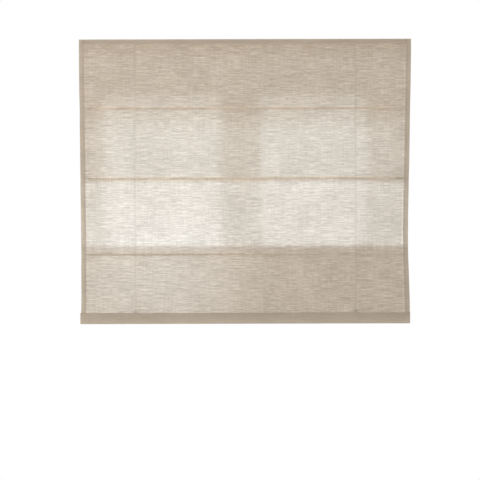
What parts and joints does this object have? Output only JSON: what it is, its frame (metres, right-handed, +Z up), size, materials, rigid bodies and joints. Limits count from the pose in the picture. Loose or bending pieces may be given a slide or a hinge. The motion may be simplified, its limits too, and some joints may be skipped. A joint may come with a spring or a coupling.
{
  "type": "roman blind",
  "caption": "Flat roman blind: hemmed semi-sheer linen-look cloth with rod pockets, lift cords and a weighted hem, on a spring-assisted headrail with wall brackets.",
  "frame": {"origin": "centre of the four wall-screw holes of the two brackets, on the wall plane", "axes": "+X along the width to the right seen from the room, +Y into the wall, +Z up"},
  "size_m": [1.2, 0.0484, 1.027],
  "materials": {
    "cloth": "semi-sheer slub weave, matte",
    "pocket_cloth": "plain weave, matte",
    "tape": "hook and loop pile",
    "cord": "braided cord",
    "rail_aluminium": "white powder coat",
    "bar_aluminium": "mill finish",
    "zinc_steel": "zinc plated",
    "shaft_steel": "cold drawn",
    "spring_steel": "blued strip",
    "rod_glass_fibre": "glass fibre",
    "white_plastic": "moulded",
    "clear_plastic": "natural moulded"
  },
  "bodies": {
    "headrail_body": {"headrail": "rail_aluminium", "end_cap_left": "white_plastic", "end_cap_right": "white_plastic", "hook_tape": "tape", "loop_tape": "tape", "fabric": "cloth", "wall_bracket_left": "zinc_steel", "wall_bracket_right": "zinc_steel", "bracket_rivet_left": "zinc_steel", "bracket_rivet_right": "zinc_steel", "spool_cradle_left": "white_plastic", "spool_cradle_right": "white_plastic", "motor_case": "white_plastic", "motor_cover": "white_plastic", "cover_screws": "zinc_steel", "power_spring": "spring_steel", "lift_cord_left": "cord", "lift_cord_right": "cord"},
    "drive": {"drive_shaft": "shaft_steel", "spool_left": "white_plastic", "spool_right": "white_plastic", "spring_arbor": "white_plastic"},
    "lever_left": {"bracket_lever_left": "white_plastic"},
    "lever_right": {"bracket_lever_right": "white_plastic"},
    "rod_1_body": {"rod_1": "rod_glass_fibre", "rod_pocket_1": "pocket_cloth", "rod_caps_1": "clear_plastic", "cord_rings_1": "clear_plastic"},
    "rod_2_body": {"rod_2": "rod_glass_fibre", "rod_pocket_2": "pocket_cloth", "rod_caps_2": "clear_plastic", "cord_rings_2": "clear_plastic"},
    "rod_3_body": {"rod_3": "rod_glass_fibre", "rod_pocket_3": "pocket_cloth", "rod_caps_3": "clear_plastic", "cord_rings_3": "clear_plastic"},
    "bottom_bar_body": {"bottom_bar": "bar_aluminium", "bar_cap_left": "clear_plastic", "bar_cap_right": "clear_plastic", "cord_anchor_left": "clear_plastic", "cord_anchor_right": "clear_plastic"}
  },
  "joints": [
    {"name": "bar_lift", "type": "slide", "parent": "headrail_body", "child": "bottom_bar_body", "axis": [0, 0, 1], "range_m": [0, 0.75], "deforming": ["fabric", "lift_cord_left", "lift_cord_right"]},
    {"name": "rod_1_lift", "type": "slide", "parent": "headrail_body", "child": "rod_1_body", "axis": [0, 0, 1], "range_m": [0, 0.18]},
    {"name": "rod_2_lift", "type": "slide", "parent": "headrail_body", "child": "rod_2_body", "axis": [0, 0, 1], "range_m": [0, 0.376]},
    {"name": "rod_3_lift", "type": "slide", "parent": "headrail_body", "child": "rod_3_body", "axis": [0, 0, 1], "range_m": [0, 0.588]},
    {"name": "shaft_turn", "type": "hinge", "parent": "headrail_body", "child": "drive", "pos_m": [0, -0.024, -0.0029], "axis": [1, 0, 0], "range_deg": [-4550, 0], "deforming": ["power_spring"]},
    {"name": "lever_left_turn", "type": "hinge", "parent": "headrail_body", "child": "lever_left", "pos_m": [-0.47, -0.024, 0.0137], "axis": [0, 0, 1], "range_deg": [-90, 0]},
    {"name": "lever_right_turn", "type": "hinge", "parent": "headrail_body", "child": "lever_right", "pos_m": [0.47, -0.024, 0.0137], "axis": [0, 0, 1], "range_deg": [0, 90]}
  ],
  "couplings": [
    {"joint": "rod_1_lift", "follows": "bar_lift", "ratio": 0.23942},
    {"joint": "rod_2_lift", "follows": "bar_lift", "ratio": 0.50052},
    {"joint": "rod_3_lift", "follows": "bar_lift", "ratio": 0.78328},
    {"joint": "shaft_turn", "follows": "bar_lift", "rad_per_m": -105.82}
  ]
}
